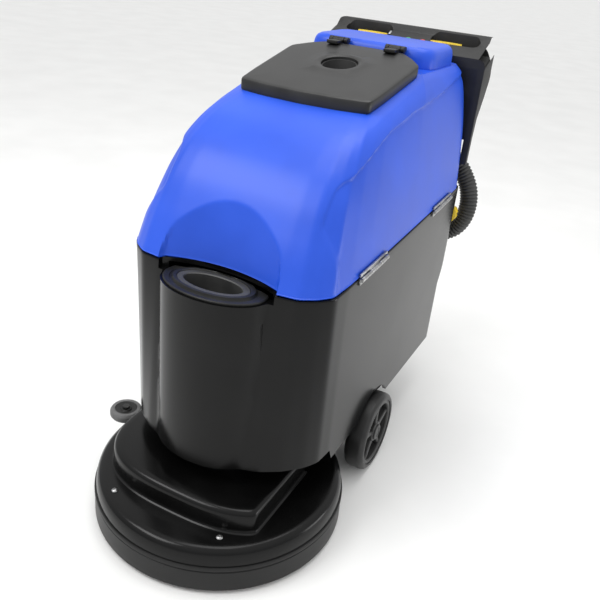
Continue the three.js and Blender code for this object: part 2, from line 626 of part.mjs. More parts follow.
// Cutter that rounds the console's top over into a cheek. Its line is the top's own, [y, z].
function cheekRounding() {
  const line = [[CONSOLE_REAR + 2, CONSOLE_TOP - 10], [CONSOLE_REAR - 8, CONSOLE_TOP],
    [CONSOLE_REAR - 24, CONSOLE_TOP], [CONSOLE_REAR - 35, CONSOLE_TOP - 14], [838, CONSOLE_TOP - 29],
    [CONSOLE_FRONT - 2, 949]];
  const arc = Array.from({ length: 6 }, (_, i) => {
    const a = (Math.PI / 2) * (i / 5);
    return [BODY_HALF - CONSOLE_EDGE * (1 - Math.sin(a)), CONSOLE_EDGE * (Math.cos(a) - 1)];
  });
  const section = [[BODY_HALF - CONSOLE_EDGE, 60], ...arc, [BODY_HALF + 30, -CONSOLE_EDGE], [BODY_HALF + 30, 60]];
  return solid(loft(line.map(([y, top]) => section.map(([x, z]) => [x, y, top + z]))));
}

function consoleShell() {
  const top = side([[CONSOLE_FRONT, 925], [860, 925], ...CONSOLE_RIM], -BODY_HALF, BODY_HALF);
  const cheek = (x0, x1) => solid(side([[CONSOLE_FRONT, 680], [806, 680], [808, 745], [816, 800], [850, 852],
    [868, 888], ...CONSOLE_RIM], x0, x1));
  const loops = [-1, 1].map((s) => solid(block(Math.min(s * 57, s * 190), Math.max(s * 57, s * 190), 842,
    CONSOLE_REAR - 27, 900, 1100)));
  const inner = BODY_HALF - CONSOLE_CORNER;
  const centre = CONSOLE_REAR - CONSOLE_CORNER;
  const corners = [-1, 1].map((s) => cut(
    solid(block(Math.min(s * inner, s * 260), Math.max(s * inner, s * 260), centre, 960, 640, 1100)),
    solid(bar("z", CONSOLE_CORNER, 630, 1110, [s * inner, centre], 40))));
  const column = solid(block(-112, 112, CONSOLE_FRONT + BACK_WALL_THICK, 846, 900, 926));
  const wall = solid(block(-CHEEK_INSIDE - 1, CHEEK_INSIDE + 1, CONSOLE_FRONT, CONSOLE_FRONT + BACK_WALL_THICK,
    BACK_WALL_FOOT, 930));
  const body = join(solid(top), cheek(-BODY_HALF, -CHEEK_INSIDE), cheek(CHEEK_INSIDE, BODY_HALF), wall);
  const edge = cheekRounding();
  const shape = cut(body, ...loops, ...corners, column, edge, edge.mirror([1, 0, 0]));
  piece("console", "black_plastic", shape);
}

function support() {
  const shell = solid(block(-108, 108, 801, 845, 426, 925));
  const room = solid(block(-102, 102, 807, 839, 400, 919));
  const slot = solid(block(-60, 60, 790, 810, 640, 900));
  piece("support_column", "black_plastic", cut(shell, room, slot));
}

// The console's sloping top just behind its front edge, as a height at a distance back.
function panelZ(y) {
  return 950 + ((y - 792) * 22) / 46;
}

function onPanel(geometry, x, y, lift) {
  return geometry.rotateX(Math.atan(22 / 46)).translate(x, y, panelZ(y) + lift);
}

function controls() {
  piece("control_panel", "grey_plastic", onPanel(block(-122, 122, -18, 18, 0, 3), 0, PANEL_Y + 19, GAP));
  const key = join(solid(onPanel(bar("z", 9, 0, 6, [0, 0], 20), -40, 813, 4)),
    solid(onPanel(block(-2.5, 2.5, -8, 8, 5, 20), -40, 813, 4)));
  piece("key_switch", "zinc", key);
  piece("button_brush", "green_plastic", onPanel(bar("z", 8, 0, 7, [0, 0], 20), 10, 813, 6));
  piece("button_vacuum", "red_plastic", onPanel(bar("z", 8, 0, 7, [0, 0], 20), 50, 813, 6));
}

// A drive trigger: a lens-shaped bar in the front of a hand loop, on a pivot along X.
function trigger(name, x) {
  const half = 43;
  const blade = Array.from({ length: 13 }, (_, i) => {
    const t = -1 + i / 6;
    return [x + half * t, 845 + 12 * (1 - t * t)];
  });
  const lens = solid(slab([[x + half, 844], [x + half, 845], ...blade.slice(1, -1).reverse(), [x - half, 845],
    [x - half, 844]], 962, 974));
  piece(name, "yellow_plastic", join(lens, solid(bar("x", 3, x - half - 2, x + half + 2, [846.6, 965], 12))));
}

// ---- suction hose and flow valve ---------------------------------------------------------------

// The hose's route from the elbow on the recovery tank to its parking stub on the column.
const HOSE_ROUTE = [[150, 816, 700], [150, 828, 700], [164, 850, 690], [192, 859, 666], [217, 861, 637],
  [238, 861, 600], [247, 861, 558], [243, 861, 516], [226, 861, 481], [199, 857, 460], [170, 844, 451],
  [145, 826, 450], [131, 826, 450]];

function hose() {
  piece("suction_hose", "rubber", tube(HOSE_ROUTE, HOSE_R, 26));
  piece("hose_elbow", "black_plastic", turned([[18, 0], [34, 0], [34, 6], [29, 8], [29, 23.8], [18, 23.8]], 20)
    .rotateX(-Math.PI / 2).translate(150, TANK_REAR + 1.6, 700));
}

function parkingStub() {
  piece("hose_stub", "black_plastic", turned([[0, 0], [18.5, 0], [18.5, 21], [0, 21]], 24, "x")
    .translate(109, 826, 450));
}

function valveKnob() {
  const grip = solid(bar("y", 26, 809, 829, [205, 531], 28));
  const stem = solid(bar("y", 8, 790, 811, [205, 531], 16));
  const notches = Array.from({ length: 6 }, (_, i) => {
    const a = (Math.PI * i) / 3;
    return solid(bar("y", 7, 812, 840, [205 + 30 * Math.cos(a), 531 + 30 * Math.sin(a)], 12));
  });
  piece("valve_knob", "yellow_plastic", join(cut(grip, ...notches), stem));
}

solutionTank();
filler();
recoveryTank();
lid();
lidHinges();
vacuum();
seamHinge("front", 158);
seamHinge("rear", 610);
tankCatch();
electrics();
chassis();
wheel("left", 1);
wheel("right", -1);
caster("left", CASTER_X);
caster("right", -CASTER_X);
deckCover();
brushDrive();
bumper();
lift();
consoleShell();
support();
controls();
trigger("trigger_left", 105);
trigger("trigger_right", -105);
hose();
parkingStub();
valveKnob();

export default machine;
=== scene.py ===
"""Walk-behind floor scrubber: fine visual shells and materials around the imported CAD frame."""
import json
import math

import bmesh
import bpy
import numpy as np
from mathutils import Matrix, Vector


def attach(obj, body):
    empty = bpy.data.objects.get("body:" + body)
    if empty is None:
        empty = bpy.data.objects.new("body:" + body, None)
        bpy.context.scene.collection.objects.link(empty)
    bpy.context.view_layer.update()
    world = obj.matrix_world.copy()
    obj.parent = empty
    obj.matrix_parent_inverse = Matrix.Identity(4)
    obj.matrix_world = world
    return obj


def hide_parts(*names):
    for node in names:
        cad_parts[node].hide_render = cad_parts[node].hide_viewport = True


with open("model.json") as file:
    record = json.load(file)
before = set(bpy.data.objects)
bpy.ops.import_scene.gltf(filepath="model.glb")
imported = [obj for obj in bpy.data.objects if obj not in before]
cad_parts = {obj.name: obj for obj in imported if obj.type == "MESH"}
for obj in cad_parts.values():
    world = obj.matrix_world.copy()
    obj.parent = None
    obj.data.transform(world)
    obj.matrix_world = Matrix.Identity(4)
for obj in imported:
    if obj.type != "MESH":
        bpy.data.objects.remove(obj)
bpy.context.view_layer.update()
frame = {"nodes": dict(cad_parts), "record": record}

# Driving dimensions in millimetres, as in the CAD model.
MM = 0.001
SEAM_Z = 592
SEAM_Y = -60
SEAM_SLOPE = 0.037
BODY_HALF = 232
BODY_REAR = 800
TANK_REAR = 790
WALL = 8
NOSE_Y = -62
NOSE_RX = 117
NOSE_RY = 76
NOSE_TOP = 572
MOUTH_Y = -70
MOUTH_RX = 72
MOUTH_RY = 38
ARCH_Y = -24
ARCH_HALF = 131
ARCH_RISE = 156
ARCH_BOW = 0.0017
ARCH_LEAN = 0.2
ARCH_SOFT = 5
LID_FRONT = 230
LID_TOP = 904
LID_SLOPE = 0.208
LID_THICK = 24
HINGE_X = 72
HINGE_Y = 550
CUP_Y = 404
CUP_R = 41.5
HUMP_TOP = 980
HUMP_FRONT = 563
HUMP_REAR = 766
OUTLET_X = 150
OUTLET_Z = 700
CONSOLE_REAR = 913
CONSOLE_TOP = 998
CONSOLE_FRONT = 792
CONSOLE_CORNER = 46
CONSOLE_EDGE = 20
CHEEK_INSIDE = 214
BACK_WALL_FOOT = 745
BACK_WALL_THICK = 5
WHEEL_R = 100
WHEEL_Y = 313
WHEEL_OUT = 259
TYRE_W = 50
DECK_R = 280
SKIRT_TOP = 69
TIER_TOP = 108
CROWN_TOP = 160
HOSE_R = 25

# Half outlines of the black tank [x, y] at the seam and at the bottom edge, point for point.
BODY_SEAM = [[0, -66], [70, -66], [130, -66], [176, -60], [207, -38], [230, -12], [232, 40],
             [232, 300], [232, 765], [226, 788], [208, 800], [100, 800], [0, 800]]
BODY_BASE = [[0, -126], [70, -113], [138, -88], [178, -60], [211, -24], [228, 8], [232, 52],
             [232, 300], [232, 765], [226, 788], [208, 800], [100, 800], [0, 800]]
# Stations round the blue tank: [seam x, seam y, shoulder x, shoulder y, share of the front's curve].
TANK_STATIONS = [[0, -66, 0, 224, 1], [45, -66, 40, 224, 1], [90, -66, 80, 224, 1],
                 [130, -66, 112, 225, 1], [176, -60, 132, 228, 1], [205, -40, 142, 236, 1],
                 [226, -14, 148, 252, 0.9], [231, 50, 154, 300, 0.6], [232, 140, 158, 360, 0.3],
                 [232, 260, 161, 420, 0.1], [232, 400, 164, 500, 0], [232, 560, 166, 610, 0],
                 [232, 740, 168, 734, 0], [225, 776, 164, 768, 0], [206, TANK_REAR, 150, 782, 0],
                 [110, TANK_REAR, 100, 784, 0], [0, TANK_REAR, 0, 784, 0]]
# Profiles from the seam to the shoulder, as [share of the way in, share of the way up].
FRONT_CURVE = [[0, 0], [0.09, 0.2], [0.18, 0.36], [0.3, 0.55], [0.46, 0.73], [0.68, 0.885], [1, 1]]
SIDE_CURVE = [[0, 0], [0.05, 0.2], [0.13, 0.42], [0.27, 0.64], [0.48, 0.85], [0.75, 0.95], [1, 1]]
# Top line of the hollow in the tank's flank, as distances back and the heights there.
FLANK_Y = [4, 35, 75, 115, 179, 250, 375, 544, 696, 790]
FLANK_Z = [735, 770, 790, 806, 831, 855, 877, 892, 911, 920]
FLANK_DEPTH = 7
# Half outline of the lid [x, y], and the middle line of the hose [x, y, z] from its elbow to its stub.
LID_OUTLINE = [[0, 222], [80, 225], [150, 233], [155, 300], [161, 475], [130, 512], [98, 538], [0, 540]]
HOSE_ROUTE = [[150, 816, 700], [150, 828, 700], [164, 850, 690], [192, 859, 666], [217, 861, 637],
              [238, 861, 600], [247, 861, 558], [243, 861, 516], [226, 861, 481], [199, 857, 460],
              [170, 844, 451], [145, 826, 450], [131, 826, 450]]


# ---- helpers ---------------------------------------------------------------------------------

def seam_z(y):
    return SEAM_Z + SEAM_SLOPE * (y - SEAM_Y)


def smooth_step(t):
    t = np.clip(t, 0, 1)
    return t * t * (3 - 2 * t)


def mirrored(half):
    """Both halves of an outline that runs along +X from the front centre to the rear centre."""
    other = [[-p[0], *p[1:]] for p in half if p[0] > 0]
    if len(half[0]) == 5:
        other = [[-p[0], p[1], -p[2], *p[3:]] for p in half if p[0] > 0]
    return half + other[::-1]


def dense(points, step):
    """A closed outline with every side cut into equal pieces of about one step, measured in X and Y."""
    points = np.array(points, float)
    rows = []
    for here, after in zip(points, np.roll(points, -1, 0)):
        count = max(1, round(math.dist(here[:2], after[:2]) / step))
        rows += [here + (after - here) * k / count for k in range(count)]
    return np.array(rows)


def same_cuts(points, guide, step):
    """Cuts one outline into as many pieces as dense() cuts its guide, side for side."""
    points = np.array(points, float)
    guide = np.array(guide, float)
    rows = []
    for i, here in enumerate(points):
        n = (i + 1) % len(points)
        count = max(1, round(math.dist(guide[i][:2], guide[n][:2]) / step))
        rows += [here + (points[n] - here) * k / count for k in range(count)]
    return np.array(rows)


def softened(rows, passes):
    """Rounds the corners of a closed outline whose points are evenly spaced."""
    for _ in range(passes):
        rows = (np.roll(rows, 1, 0) + 2 * rows + np.roll(rows, -1, 0)) / 4
    return rows


def through(points, count):
    """Evenly numbered points on a smooth open curve through the given points."""
    points = np.array(points, float)
    padded = np.vstack([2 * points[0] - points[1], points, 2 * points[-1] - points[-2]])
    out = []
    for u in np.linspace(0, len(points) - 1, count):
        i = min(int(u), len(points) - 2)
        t = u - i
        a, b, c, d = padded[i:i + 4]
        out.append(0.5 * (2 * b + (c - a) * t + (2 * a - 5 * b + 4 * c - d) * t ** 2
                          + (3 * b - 3 * c + d - a) * t ** 3))
    return np.array(out)


def oval(rx, ry, cx=0, cy=0, count=96, power=2.0):
    a = np.linspace(0, 2 * math.pi, count, endpoint=False)
    c = np.cos(a)
    s = np.sin(a)
    x = cx + rx * np.sign(c) * np.abs(c) ** (2 / power)
    y = cy + ry * np.sign(s) * np.abs(s) ** (2 / power)
    return np.stack([x, y], 1)


def raised(outline, z):
    return np.column_stack([outline[:, :2], np.full(len(outline), float(z))])


def new_object(name, points, faces, sharp=32):
    mesh = bpy.data.meshes.new(name)
    mesh.from_pydata([[c * MM for c in p] for p in points], [], faces)
    mesh.validate()
    obj = bpy.data.objects.new(name, mesh)
    bpy.context.collection.objects.link(obj)
    outward(mesh)
    shade(mesh, sharp)
    return obj


def outward(mesh):
    bm = bmesh.new()
    bm.from_mesh(mesh)
    bmesh.ops.recalc_face_normals(bm, faces=bm.faces)
    bm.to_mesh(mesh)
    bm.free()


def shade(mesh, sharp):
    mesh.polygons.foreach_set("use_smooth", [True] * len(mesh.polygons))
    mesh.set_sharp_from_angle(angle=math.radians(sharp))
    mesh.update()


def lofted(name, rings, sharp=32, caps=(True, True), closed=False):
    """A skin over rings of equal length; closed joins the last ring to the first."""
    rings = np.array(rings, float)
    count = rings.shape[1]
    points = list(rings.reshape(-1, 3))
    faces = []
    loops = len(rings) if closed else len(rings) - 1
    for k in range(loops):
        low = k * count
        high = ((k + 1) % len(rings)) * count
        for i in range(count):
            n = (i + 1) % count
            faces.append((low + i, low + n, high + n, high + i))
    if not closed:
        last = (len(rings) - 1) * count
        for wanted, ring, base in ((caps[0], rings[0], 0), (caps[1], rings[-1], last)):
            if wanted:
                middle = len(points)
                points.append(ring.mean(0))
                faces += [(base + i, base + (i + 1) % count, middle) for i in range(count)]
    return new_object(name, points, faces, sharp)


def turned(name, profile, count=96, sharp=32, axis="z", at=(0, 0, 0)):
    """A turned piece. Its [radius, height] profile is a closed loop, or starts and ends on the axis."""
    a = np.linspace(0, 2 * math.pi, count, endpoint=False)
    on_axis = profile[0][0] == 0
    inner = profile[1:-1] if on_axis else profile
    rings = []
    for r, h in inner:
        ring = np.stack([r * np.cos(a), r * np.sin(a), np.full(count, float(h))], 1)
        rings.append(ring)
    obj = lofted(name, rings, sharp, caps=(on_axis, on_axis), closed=not on_axis)
    if on_axis:
        obj.data.vertices[len(inner) * count].co.z = profile[0][1] * MM
        obj.data.vertices[len(inner) * count + 1].co.z = profile[-1][1] * MM
    turn = Matrix.Rotation(math.pi / 2, 4, "Y") if axis == "x" else Matrix.Identity(4)
    if axis == "y":
        turn = Matrix.Rotation(-math.pi / 2, 4, "X")
    obj.data.transform(Matrix.Translation(Vector(at) * MM) @ turn)
    return obj


def boxy(name, x0, x1, y0, y1, z0, z1):
    points = [(x, y, z) for z in (z0, z1) for x, y in ((x0, y0), (x1, y0), (x1, y1), (x0, y1))]
    faces = [(3, 2, 1, 0), (4, 5, 6, 7), (0, 1, 5, 4), (1, 2, 6, 5), (2, 3, 7, 6), (3, 0, 4, 7)]
    return new_object(name, points, faces)


def rounded_box(name, x0, x1, y0, y1, z0, z1, corner, edge):
    """A box with round upright corners and softly rounded top and bottom edges."""
    cx, cy = (x0 + x1) / 2, (y0 + y1) / 2
    hx, hy = (x1 - x0) / 2, (y1 - y0) / 2
    rings = []
    for inset, z in ((edge, z0), (edge * 0.3, z0 + edge * 0.3), (0, z0 + edge), (0, z1 - edge),
                     (edge * 0.3, z1 - edge * 0.3), (edge, z1)):
        ring = []
        radius = max(corner - inset, 0.5)
        for sx, sy, start in ((1, 1, 0), (-1, 1, 1), (-1, -1, 2), (1, -1, 3)):
            for k in range(9):
                a = (start + k / 8) * math.pi / 2
                ring.append([cx + sx * (hx - inset - radius) + radius * math.cos(a),
                             cy + sy * (hy - inset - radius) + radius * math.sin(a), z])
        rings.append(ring)
    return lofted(name, rings)


def side_slab(name, outline, x0, x1, sharp=32):
    """An outline in Y and Z, run from x0 to x1."""
    count = len(outline)
    points = [(x, y, z) for x in (x0, x1) for y, z in outline]
    faces = [tuple(range(count)), tuple(range(2 * count - 1, count - 1, -1))]
    faces += [(i, (i + 1) % count, count + (i + 1) % count, count + i) for i in range(count)]
    return new_object(name, points, faces, sharp)


def baked(obj):
    """Applies an object's modifiers to its mesh."""
    graph = bpy.context.evaluated_depsgraph_get()
    mesh = bpy.data.meshes.new_from_object(obj.evaluated_get(graph))
    obj.modifiers.clear()
    obj.data = mesh
    return obj


def drop(obj):
    bpy.data.objects.remove(obj)


def boolean(obj, tools, operation="DIFFERENCE"):
    for tool in tools:
        mod = obj.modifiers.new("boolean", "BOOLEAN")
        mod.operation = operation
        mod.solver = "EXACT"
        mod.object = tool
        baked(obj)
        drop(tool)
    return obj


def bevelled(obj, width, segments=3, angle=32, sharp=32):
    bm = bmesh.new()
    bm.from_mesh(obj.data)
    bmesh.ops.remove_doubles(bm, verts=bm.verts, dist=1e-5)
    bmesh.ops.dissolve_limit(bm, angle_limit=math.radians(1), verts=bm.verts, edges=bm.edges)
    bm.to_mesh(obj.data)
    bm.free()
    mod = obj.modifiers.new("bevel", "BEVEL")
    mod.width = width * MM
    mod.segments = segments
    mod.limit_method = "ANGLE"
    mod.angle_limit = math.radians(angle)
    baked(obj)
    shade(obj.data, sharp)
    return obj


def placed(obj, body, slot, *nodes):
    """Hands a finished piece to a body, with its slot's material, in place of the CAD nodes named."""
    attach(obj, body)
    if nodes:
        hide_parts(*nodes)
    obj.data.materials.clear()
    obj.data.materials.append(MATERIALS[slot])
    return obj


# ---- materials -------------------------------------------------------------------------------

def grained(name, dark, light, rough, patch=9, grain=900, height=0.0002, strength=0.25, metallic=0.0,
            spread=0.08, specular=0.5):
    """A moulded, painted or plated surface: mottled colour and gloss over a fine grain."""
    material = bpy.data.materials.new(name)
    material.use_nodes = True
    tree = material.node_tree
    shader = tree.nodes["Principled BSDF"]
    shader.inputs["Metallic"].default_value = metallic
    shader.inputs["Specular IOR Level"].default_value = specular
    place = tree.nodes.new("ShaderNodeTexCoord")
    clouds = tree.nodes.new("ShaderNodeTexNoise")
    clouds.inputs["Scale"].default_value = patch
    clouds.inputs["Detail"].default_value = 6
    colours = tree.nodes.new("ShaderNodeValToRGB")
    colours.color_ramp.elements[0].position = 0.35
    colours.color_ramp.elements[0].color = (*dark, 1)
    colours.color_ramp.elements[1].position = 0.68
    colours.color_ramp.elements[1].color = (*light, 1)
    gloss = tree.nodes.new("ShaderNodeMapRange")
    gloss.inputs["To Min"].default_value = rough - spread
    gloss.inputs["To Max"].default_value = rough + spread
    fine = tree.nodes.new("ShaderNodeTexNoise")
    fine.inputs["Scale"].default_value = grain
    fine.inputs["Detail"].default_value = 3
    bump = tree.nodes.new("ShaderNodeBump")
    bump.inputs["Strength"].default_value = strength
    bump.inputs["Distance"].default_value = height
    link = tree.links.new
    link(place.outputs["Object"], clouds.inputs["Vector"])
    link(place.outputs["Object"], fine.inputs["Vector"])
    link(clouds.outputs["Fac"], colours.inputs["Fac"])
    link(clouds.outputs["Fac"], gloss.inputs["Value"])
    link(colours.outputs["Color"], shader.inputs["Base Color"])
    link(gloss.outputs["Result"], shader.inputs["Roughness"])
    link(fine.outputs["Fac"], bump.inputs["Height"])
    link(bump.outputs["Normal"], shader.inputs["Normal"])
    return material


def fibre(name):
    """An open nylon pad: strands of two reds, the darker red standing as painted shade in the gaps between
    them.
    """
    return grained(name, (0.12, 0.012, 0.008), (0.34, 0.05, 0.03), 0.9, patch=160, grain=700,
                   height=0.002, strength=0.9, spread=0.05)


MATERIALS = {
    "blue_plastic": grained("blue_plastic", (0.012, 0.07, 0.54), (0.02, 0.09, 0.64), 0.36, patch=5,
                            grain=500, height=0.0003, strength=0.1, spread=0.07, specular=0.35),
    "black_gloss": grained("black_gloss", (0.002, 0.002, 0.002), (0.004, 0.004, 0.004), 0.2, patch=7,
                           grain=450, height=0.0002, strength=0.08, spread=0.06, specular=0.22),
    "black_plastic": grained("black_plastic", (0.008, 0.008, 0.0078), (0.015, 0.015, 0.0145), 0.4, patch=14,
                             specular=0.3),
    "lid_plastic": grained("lid_plastic", (0.009, 0.009, 0.0088), (0.02, 0.02, 0.0195), 0.42, patch=16,
                           grain=800, strength=0.2, spread=0.1, specular=0.4),
    "console_plastic": grained("console_plastic", (0.009, 0.009, 0.0088), (0.018, 0.018, 0.0175), 0.5,
                               patch=18, grain=620, height=0.0006, strength=0.45, specular=0.35),
    "panel_plastic": grained("panel_plastic", (0.07, 0.07, 0.067), (0.1, 0.1, 0.096), 0.5, patch=20),
    "grey_plastic": grained("grey_plastic", (0.03, 0.03, 0.03), (0.05, 0.05, 0.048), 0.5, patch=20),
    "hub_plastic": grained("hub_plastic", (0.022, 0.022, 0.022), (0.04, 0.04, 0.04), 0.42, patch=25,
                           spread=0.1),
    "rubber": grained("rubber", (0.009, 0.009, 0.009), (0.016, 0.016, 0.016), 0.7, patch=30, grain=1400,
                      strength=0.4),
    "skirt_rubber": grained("skirt_rubber", (0.005, 0.005, 0.005), (0.011, 0.011, 0.011), 0.42, patch=9,
                            grain=900, strength=0.2, specular=0.3),
    "hose_rubber": grained("hose_rubber", (0.02, 0.02, 0.019), (0.036, 0.036, 0.034), 0.55, patch=25),
    "grey_rubber": grained("grey_rubber", (0.09, 0.09, 0.09), (0.15, 0.15, 0.15), 0.6, patch=40),
    "tyre": grained("tyre", (0.006, 0.006, 0.006), (0.013, 0.013, 0.013), 0.42, patch=18, grain=800,
                    strength=0.3, spread=0.12),
    "yellow_plastic": grained("yellow_plastic", (0.74, 0.5, 0.02), (0.85, 0.62, 0.05), 0.35, patch=30),
    "green_plastic": grained("green_plastic", (0.02, 0.24, 0.06), (0.03, 0.32, 0.08), 0.35, patch=60),
    "red_plastic": grained("red_plastic", (0.38, 0.02, 0.015), (0.48, 0.03, 0.02), 0.35, patch=60),
    "steel": grained("steel", (0.03, 0.03, 0.03), (0.07, 0.07, 0.068), 0.42, patch=30, metallic=0.6),
    "zinc": grained("zinc", (0.28, 0.28, 0.28), (0.5, 0.5, 0.5), 0.34, patch=120, grain=1500,
                    metallic=1.0),
    "motor_paint": grained("motor_paint", (0.12, 0.13, 0.15), (0.18, 0.19, 0.21), 0.45, patch=30,
                           metallic=0.2),
    "pad_fibre": fibre("pad_fibre"),
}


# ---- black solution tank ---------------------------------------------------------------------

def front_of_nose(x, y, rx=NOSE_RX, ry=NOSE_RY):
    """Draws the body's front out to the oval filler nose, with a soft corner where they meet."""
    share = np.clip(1 - (x / rx) ** 2, 0, 1)
    nose = NOSE_Y - ry * np.sqrt(share)
    soft = 7
    gap = np.clip(0.5 + (y - nose) / (2 * soft), 0, 1)
    merged = y * (1 - gap) + nose * gap - soft * gap * (1 - gap)
    return np.where(np.abs(x) < rx + 3, np.minimum(y, merged), y)


def body_ring(low, high, t, inset=0):
    """The body's outline at a share of its height, drawn in by an inset."""
    plan = low + (high - low) * t
    bottom = np.interp(low[:, 1], [60, 76], [200, 168])
    z = bottom + (seam_z(plan[:, 1]) - bottom) * t
    y = plan[:, 1] + inset * (low[:, 1] < 0) - inset * (low[:, 1] > 500)
    if inset == 0:
        y = np.where(y < 0, front_of_nose(plan[:, 0], y), y)
    return np.column_stack([plan[:, 0] * (1 - inset / BODY_HALF), y, z])


def body_outlines(step=5, passes=3):
    """The body's bottom and top outlines, point for point, with softened corners."""
    seam = mirrored(BODY_SEAM)
    low = softened(same_cuts(mirrored(BODY_BASE), seam, step), passes)
    high = softened(dense(seam, step), passes)
    return low, high


def lipped(rings, inset, drop_by):
    """Rounds the last ring's edge with two smaller rings."""
    top = rings[-1]
    middle = np.array([0, 380, 0])
    out = list(rings[:-1])
    for share in (1.0, 0.75, 0.35, 0.0):
        ring = top.copy()
        toward = middle - ring
        toward[:, 2] = 0
        length = np.linalg.norm(toward, axis=1, keepdims=True)
        ring += toward / length * inset * (1 - math.sqrt(1 - (1 - share) ** 2))
        ring[:, 2] -= drop_by * share
        out.append(ring)
    return out


def solution_tank():
    low, high = body_outlines()
    rings = lipped([body_ring(low, high, t) for t in np.linspace(0, 1, 26)], 4, 4)
    tank = lofted("solution_tank_shell", rings)
    cutters = [
        side_slab("cut", [(860, 470), (BODY_REAR, 470), (742, 345), (742, 100), (860, 100)], -300, 300),
        boxy("cut", -222, 222, 300, 790, 345, 800),
    ]

    def hull():
        return lofted("hull", [body_ring(low, high, t, WALL) for t in (-0.3, 1.1)])

    front_room = boxy("front_room", -230, 230, -48, 290, 395, 800)
    cover = side_slab("cover", [(-300, seam_z(-300) - WALL), (1000, seam_z(1000) - WALL), (1000, 1200),
                                (-300, 1200)], -320, 320)
    boolean(front_room, [cover])
    cutters.append(boolean(front_room, [hull()], "INTERSECT"))
    inside = oval(NOSE_RX - WALL, NOSE_RY - WALL, 0, NOSE_Y)
    well = lofted("well", [raised(inside, z) for z in (215, NOSE_TOP - 4)])
    cutters.append(boolean(well, [boxy("wall", -250, 250, -68, 300, 100, 391)]))
    mouth = oval(MOUTH_RX + 6, MOUTH_RY + 5, 0, MOUTH_Y)
    cutters.append(lofted("mouth", [raised(mouth, NOSE_TOP + step) for step in (-10, 10)]))
    x = np.linspace(-ARCH_HALF, ARCH_HALF, 53)
    face = np.stack([x, ARCH_Y - ARCH_BOW * x * x], 1)
    room = np.vstack([[[-ARCH_HALF, -300], [ARCH_HALF, -300]], face[::-1]])
    cutters.append(lofted("headroom", [raised(room, z) for z in (NOSE_TOP, 700)]))
    cutters.append(boolean(boxy("under_front", -180, 180, -60, 292, 100, 383), [hull()], "INTERSECT"))
    cutters.append(boolean(boxy("under_side", -230, 230, 0, 292, 100, 383), [hull()], "INTERSECT"))
    cutters.append(boxy("cut", -224, 224, 300, 734, 100, 337))
    wheel_room = [[0, -52], [WHEEL_R + 16, -52], [WHEEL_R + 16, 52], [0, 52]]
    for s in (1, -1):
        cutters.append(turned("arch", wheel_room, 96, axis="x", at=(s * 248, WHEEL_Y, WHEEL_R)))
    valve_stem = [[0, -40], [9, -40], [9, 40], [0, 40]]
    cutters.append(turned("stem", valve_stem, 32, axis="y", at=(205, 790, 531)))
    boolean(tank, cutters)
    shade(tank.data, 28)
    placed(tank, "root", "black_gloss", "solution_tank")


# ---- filler ring and strainer ----------------------------------------------------------------

def behind_arch(points, gap):
    """Keeps an oval's points in front of the arch's face."""
    face = ARCH_Y - ARCH_BOW * points[:, 0] ** 2 - gap
    points[:, 1] = np.minimum(points[:, 1], face)
    return points


def filler():
    outer_x = NOSE_RX - 5 - MOUTH_RX
    shelf = NOSE_TOP + 0.5
    section = [(0.0, 0), (1.0, 0), (1.0, 3), (0.95, 4.5), (0.62, 4.5), (0.58, 3), (0.5, 3), (0.46, 4.5),
               (0.4, 8.5), (0.3, 9), (0.2, 9), (0.16, 8), (0.14, 4.5), (0.0, 4)]
    rings = []
    for share, up in section:
        grow_x = share * outer_x
        grow_y = share * (NOSE_RY - 5 - MOUTH_RY)
        cy = MOUTH_Y + share * (NOSE_Y - MOUTH_Y)
        shape = oval(MOUTH_RX + grow_x, MOUTH_RY + grow_y, 0, cy, 144)
        rings.append(behind_arch(raised(shape, shelf + up), 1.5))
    ring = lofted("filler_rim", rings, closed=True)
    placed(ring, "root", "black_plastic", "filler_ring")
    floor = -64
    cup = [(-4, 470), (-4, 575), (6, 577.4), (6, 579.5), (4, 580), (-6, 580), (-8, 578), (-8, 474),
           (floor, 474), (floor, 470)]
    rings = []
    for grow, z in cup:
        if grow == floor:
            shape = oval(8, 4, 0, MOUTH_Y, 144)
        else:
            shape = oval(MOUTH_RX + grow, MOUTH_RY + grow, 0, MOUTH_Y, 144)
        rings.append(behind_arch(raised(shape, z), 3))
    basket = lofted("strainer_cup", rings, closed=True)
    slots = []
    for s in (-1, 1):
        for i in range(3):
            y = MOUTH_Y - 20 + i * 15
            slots.append(rounded_box("slot", s * 34 - 24, s * 34 + 24, y, y + 7, 460, 480, 3, 1))
    boolean(basket, slots)
    shade(basket.data, 32)
    placed(basket, "basket", "grey_plastic", "strainer_basket")
    for i, x in enumerate((-44, -22, 0, 22, 44)):
        reach = (MOUTH_RY - 9) * math.sqrt(1 - (x / (MOUTH_RX - 8)) ** 2)
        rib = rounded_box(f"strainer_rib_{i + 1}", x - 1.8, x + 1.8, MOUTH_Y - reach, MOUTH_Y + reach, 473.5,
                          545 if x == 0 else 490, 1.5, 0.8)
        placed(rib, "basket", "grey_plastic")


# ---- blue recovery tank ----------------------------------------------------------------------

def shoulder_z(y):
    return LID_TOP - LID_THICK - 1 + LID_SLOPE * np.minimum(y - LID_FRONT, 265)


def arch_depth(x, z):
    """1 inside the arched recess, 0 outside it, with a soft wall between."""
    up = np.maximum(z - SEAM_Z, 0)
    radius = np.sqrt((x / ARCH_HALF) ** 2 + (up / ARCH_RISE) ** 2)
    return smooth_step((1 - radius) * ARCH_HALF / ARCH_SOFT + 0.5)


def flank_depth(y, z):
    """How far the hollow in the tank's flank runs in: nothing at the seam, most just under the shoulder."""
    top = np.interp(y, FLANK_Y, FLANK_Z)
    edge = smooth_step((top - z) / 10) * smooth_step((y - 2) / 14) * smooth_step((786 - y) / 20)
    fade = np.clip((z - seam_z(y)) / (top - seam_z(y)), 0, 1)
    return FLANK_DEPTH * edge * fade ** 0.6


